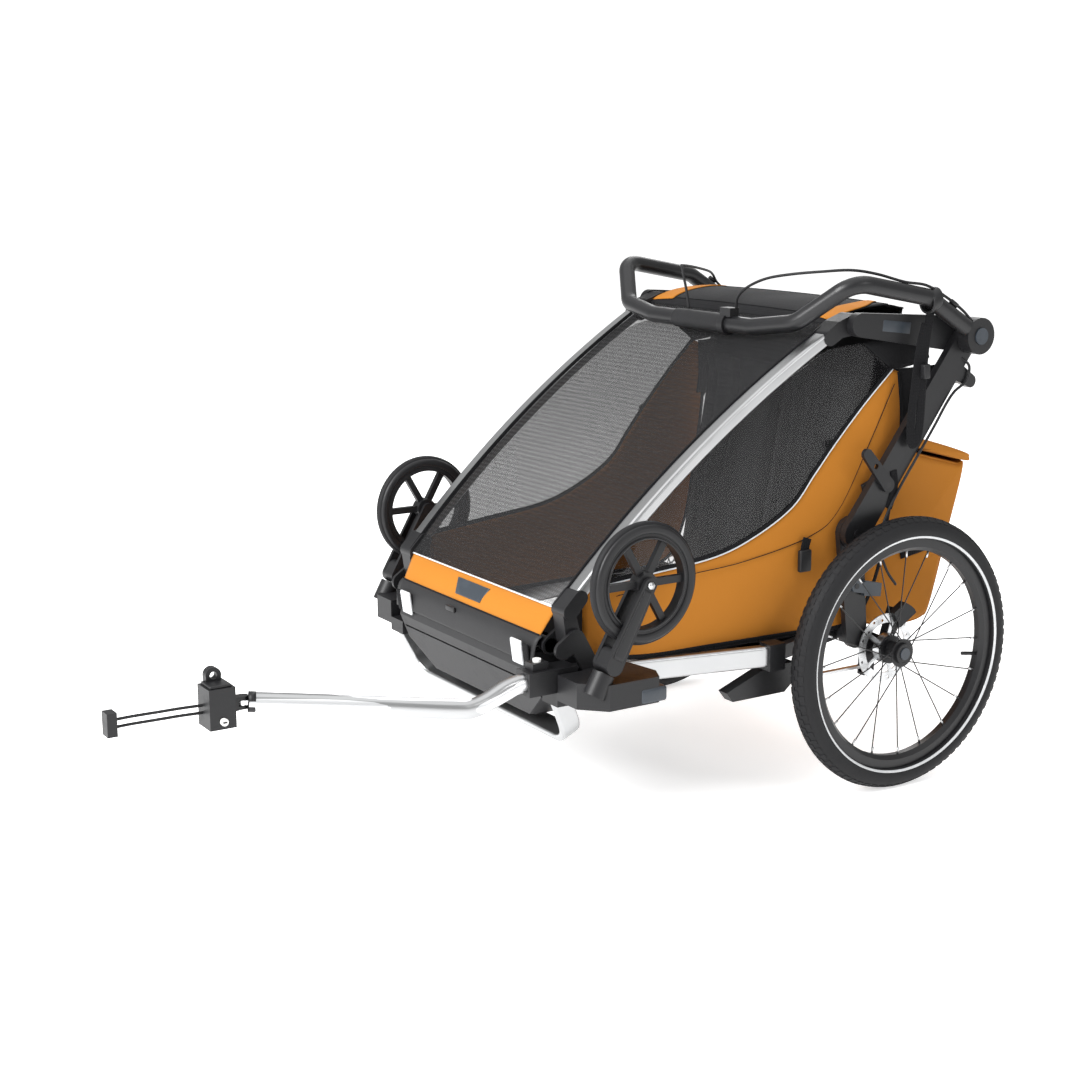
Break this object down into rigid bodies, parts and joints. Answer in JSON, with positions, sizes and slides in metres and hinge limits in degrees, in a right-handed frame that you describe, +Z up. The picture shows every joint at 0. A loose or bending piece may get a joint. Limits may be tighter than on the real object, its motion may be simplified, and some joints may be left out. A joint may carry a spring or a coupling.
{
  "type": "child bicycle trailer",
  "caption": "Two-seat child bicycle trailer with spoked wheels, folding frame, hitch arm, flip-over handlebar and stored stroller wheels.",
  "frame": {"origin": "on the ground, midway along the trailer and midway between the wheels", "axes": "+Z up, -Y towards the bicycle, +X to the trailer's left"},
  "size_m": [0.779, 1.663, 0.9545],
  "materials": {
    "alloy": "satin anodised",
    "black_metal": "satin powder coat",
    "black_plastic": "fine moulded grain",
    "grey_plastic": "fine moulded grain",
    "blue_grey_plastic": "smooth satin",
    "white_plastic": "smooth",
    "orange_fabric": "plain woven",
    "dark_fabric": "plain woven",
    "mesh_fabric": "fine open mesh",
    "rubber": "matt tread",
    "steel": "ground",
    "grip": "soft matt"
  },
  "bodies": {
    "chassis": {"side_rails": "alloy", "front_crossbar": "black_metal", "front_hoop": "alloy", "front_brackets": "black_plastic", "footwell": "grey_plastic", "axle_beam": "black_metal", "uprights": "black_metal", "cabin_floor": "dark_fabric", "seat_base": "dark_fabric", "seat_back": "dark_fabric", "harness": "dark_fabric", "side_panels": "orange_fabric", "front_cover": "mesh_fabric", "roof": "dark_fabric", "back_panel": "dark_fabric", "cargo_bag": "orange_fabric", "arm_receptacle": "black_plastic", "leaf_springs": "steel"},
    "pillar_frame": {"pillars": "alloy", "pillar_knuckles": "black_plastic"},
    "top_frame": {"top_brackets": "black_plastic"},
    "strut_frame": {"struts": "black_metal", "lower_cables": "grip"},
    "left_lock_lever": {"left_lock_lever": "black_plastic"},
    "right_lock_lever": {"right_lock_lever": "black_plastic"},
    "handlebar": {"handlebar": "black_metal", "handlebar_fittings": "black_plastic", "upper_cables": "grip", "wrist_strap": "dark_fabric"},
    "left_handlebar_button": {"left_handlebar_button": "blue_grey_plastic"},
    "right_handlebar_button": {"right_handlebar_button": "blue_grey_plastic"},
    "brake_sleeve": {"brake_sleeve": "grip"},
    "left_swing_arm": {"left_swing_arm": "black_plastic"},
    "left_brake_disc": {"left_rotor": "steel"},
    "left_wheel": {"left_tyre": "rubber", "left_rim": "black_plastic", "left_spokes": "black_metal", "left_hub": "black_plastic"},
    "left_hub_button": {"left_hub_button": "blue_grey_plastic"},
    "left_fork": {"left_fork": "black_plastic"},
    "left_stroller_wheel": {"left_stroller_wheel": "black_plastic"},
    "right_swing_arm": {"right_swing_arm": "black_plastic"},
    "right_brake_disc": {"right_rotor": "steel"},
    "right_wheel": {"right_tyre": "rubber", "right_rim": "black_plastic", "right_spokes": "black_metal", "right_hub": "black_plastic"},
    "right_hub_button": {"right_hub_button": "blue_grey_plastic"},
    "right_fork": {"right_fork": "black_plastic"},
    "right_stroller_wheel": {"right_stroller_wheel": "black_plastic"},
    "bag_lid": {"bag_lid": "orange_fabric"},
    "parking_pedal": {"parking_pedal": "blue_grey_plastic"},
    "hitch_arm": {"hitch_arm": "alloy"},
    "arm_button": {"arm_button": "white_plastic"},
    "hitch_connector": {"hitch_connector": "black_plastic"},
    "hitch_block": {"hitch_block": "black_plastic", "safety_cords": "grip", "safety_hook": "black_plastic"},
    "lock_knob": {"lock_knob": "white_plastic"}
  },
  "joints": [
    {"name": "frame_fold", "type": "hinge", "parent": "chassis", "child": "pillar_frame", "pos_m": [0, -0.1695, 0.352], "axis": [-1, 0, 0], "range_deg": [0, 31], "deforming": ["side_panels", "front_cover", "roof", "back_panel", "seat_back", "harness", "cargo_bag", "bag_lid"]},
    {"name": "strut_fold", "type": "hinge", "parent": "chassis", "child": "strut_frame", "pos_m": [0, 0.3965, 0.474], "axis": [-1, 0, 0], "range_deg": [0, 45], "deforming": ["lower_cables"]},
    {"name": "top_fold", "type": "hinge", "parent": "pillar_frame", "child": "top_frame", "pos_m": [0, 0.4025, 0.841], "axis": [1, 0, 0], "range_deg": [0, 51.85]},
    {"name": "handlebar_flip", "type": "hinge", "parent": "strut_frame", "child": "handlebar", "pos_m": [0, 0.6505, 0.812], "axis": [-1, 0, 0], "range_deg": [0, 160]},
    {"name": "left_lever_turn", "type": "hinge", "parent": "strut_frame", "child": "left_lock_lever", "pos_m": [0.336, 0.4605, 0.556], "axis": [1, 0, 0], "range_deg": [0, 45]},
    {"name": "left_handlebar_press", "type": "slide", "parent": "handlebar", "child": "left_handlebar_button", "axis": [-1, 0, 0], "range_m": [0, 0.003], "stiffness_N_per_m": 1200, "springref_m": -0.0005},
    {"name": "right_lever_turn", "type": "hinge", "parent": "strut_frame", "child": "right_lock_lever", "pos_m": [-0.336, 0.4605, 0.556], "axis": [1, 0, 0], "range_deg": [0, 45]},
    {"name": "right_handlebar_press", "type": "slide", "parent": "handlebar", "child": "right_handlebar_button", "axis": [1, 0, 0], "range_m": [0, 0.003], "stiffness_N_per_m": 1200, "springref_m": -0.0005},
    {"name": "brake_twist", "type": "hinge", "parent": "handlebar", "child": "brake_sleeve", "pos_m": [0, 0.2945, 0.83], "axis": [1, 0, 0], "range_deg": [0, 35]},
    {"name": "left_suspension", "type": "hinge", "parent": "chassis", "child": "left_swing_arm", "pos_m": [0.295, 0.4185, 0.281], "axis": [1, 0, 0], "range_deg": [0, 9], "stiffness_Nm_per_rad": 110, "springref_deg": -4.58},
    {"name": "left_wheel_spin", "type": "hinge", "parent": "left_swing_arm", "child": "left_brake_disc", "pos_m": [0.366, 0.4825, 0.25], "axis": [1, 0, 0], "continuous": true},
    {"name": "left_wheel_release", "type": "slide", "parent": "left_brake_disc", "child": "left_wheel", "axis": [1, 0, 0], "range_m": [0, 0.06]},
    {"name": "left_hub_press", "type": "slide", "parent": "left_wheel", "child": "left_hub_button", "axis": [-1, 0, 0], "range_m": [0, 0.003], "stiffness_N_per_m": 1200, "springref_m": -0.0005},
    {"name": "left_fork_release", "type": "slide", "parent": "chassis", "child": "left_fork", "axis": [0, 0.4799, 0.8773], "range_m": [0, 0.035]},
    {"name": "left_stroller_wheel_spin", "type": "hinge", "parent": "left_fork", "child": "left_stroller_wheel", "pos_m": [0.368, -0.0935, 0.455], "axis": [1, 0, 0], "continuous": true},
    {"name": "right_suspension", "type": "hinge", "parent": "chassis", "child": "right_swing_arm", "pos_m": [-0.295, 0.4185, 0.281], "axis": [1, 0, 0], "range_deg": [0, 9], "stiffness_Nm_per_rad": 110, "springref_deg": -4.58},
    {"name": "right_wheel_spin", "type": "hinge", "parent": "right_swing_arm", "child": "right_brake_disc", "pos_m": [-0.366, 0.4825, 0.25], "axis": [1, 0, 0], "continuous": true},
    {"name": "right_wheel_release", "type": "slide", "parent": "right_brake_disc", "child": "right_wheel", "axis": [-1, 0, 0], "range_m": [0, 0.06]},
    {"name": "right_hub_press", "type": "slide", "parent": "right_wheel", "child": "right_hub_button", "axis": [1, 0, 0], "range_m": [0, 0.003], "stiffness_N_per_m": 1200, "springref_m": -0.0005},
    {"name": "right_fork_release", "type": "slide", "parent": "chassis", "child": "right_fork", "axis": [0, 0.4799, 0.8773], "range_m": [0, 0.035]},
    {"name": "right_stroller_wheel_spin", "type": "hinge", "parent": "right_fork", "child": "right_stroller_wheel", "pos_m": [-0.368, -0.0935, 0.455], "axis": [1, 0, 0], "continuous": true},
    {"name": "bag_lid_open", "type": "hinge", "parent": "chassis", "child": "bag_lid", "pos_m": [0, 0.5465, 0.602], "axis": [1, 0, 0], "range_deg": [0, 45]},
    {"name": "pedal_press", "type": "hinge", "parent": "chassis", "child": "parking_pedal", "pos_m": [0.323, 0.4045, 0.376], "axis": [-1, 0, 0], "range_deg": [0, 20], "stiffness_Nm_per_rad": 4, "springref_deg": -5.73},
    {"name": "arm_release", "type": "slide", "parent": "chassis", "child": "hitch_arm", "axis": [0, -1, 0], "range_m": [0, 0.06]},
    {"name": "arm_button_press", "type": "slide", "parent": "chassis", "child": "arm_button", "axis": [0, 0, -1], "range_m": [0, 0.004], "stiffness_N_per_m": 1000, "springref_m": -0.001},
    {"name": "hitch_yaw", "type": "hinge", "parent": "hitch_arm", "child": "hitch_connector", "pos_m": [0.12317, -0.6907, 0.29083], "axis": [0, 0, 1], "range_deg": [-40, 40]},
    {"name": "hitch_roll", "type": "hinge", "parent": "hitch_connector", "child": "hitch_block", "pos_m": [0.12317, -0.7075, 0.29083], "axis": [0, 1, 0], "range_deg": [-30, 30]},
    {"name": "hitch_lock", "type": "hinge", "parent": "hitch_block", "child": "lock_knob", "pos_m": [0.142, -0.7315, 0.27], "axis": [1, 0, 0], "range_deg": [0, 90]}
  ],
  "couplings": [
    {"joint": "strut_fold", "follows": "frame_fold", "ratio": 1.4485},
    {"joint": "top_fold", "follows": "frame_fold", "ratio": 1.6695}
  ]
}
